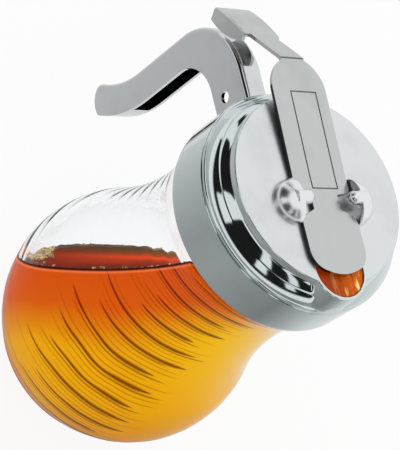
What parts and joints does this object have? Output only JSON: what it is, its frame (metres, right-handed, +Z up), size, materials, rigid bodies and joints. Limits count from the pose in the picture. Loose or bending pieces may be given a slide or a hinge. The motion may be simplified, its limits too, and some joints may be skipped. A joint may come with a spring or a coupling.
{
  "type": "honey dispenser",
  "caption": "Ribbed glass honey jar, partly filled, with a stepped chrome lid, a pouring mouth, a channel handle and a sliding shutter with a thumb rest.",
  "frame": {"origin": "centre of the jar's flat base, on the surface that it stands on", "axes": "+Z up along the jar's axis, +X towards the pouring mouth, the handle and thumb rest towards -X"},
  "size_m": [0.1179, 0.0846, 0.1421],
  "materials": {
    "clear_glass": "clear, smooth",
    "honey": "clear amber liquid",
    "lid_chrome": "polished",
    "handle_chrome": "polished",
    "shutter_steel": "satin"
  },
  "bodies": {
    "jar": {"glass_jar": "clear_glass", "honey": "honey", "lid": "lid_chrome", "handle": "handle_chrome"},
    "shutter": {"shutter": "shutter_steel"}
  },
  "joints": [
    {"name": "shutter_slide", "type": "slide", "parent": "jar", "child": "shutter", "axis": [1, 0, 0], "range_m": [0, 0.007]}
  ]
}
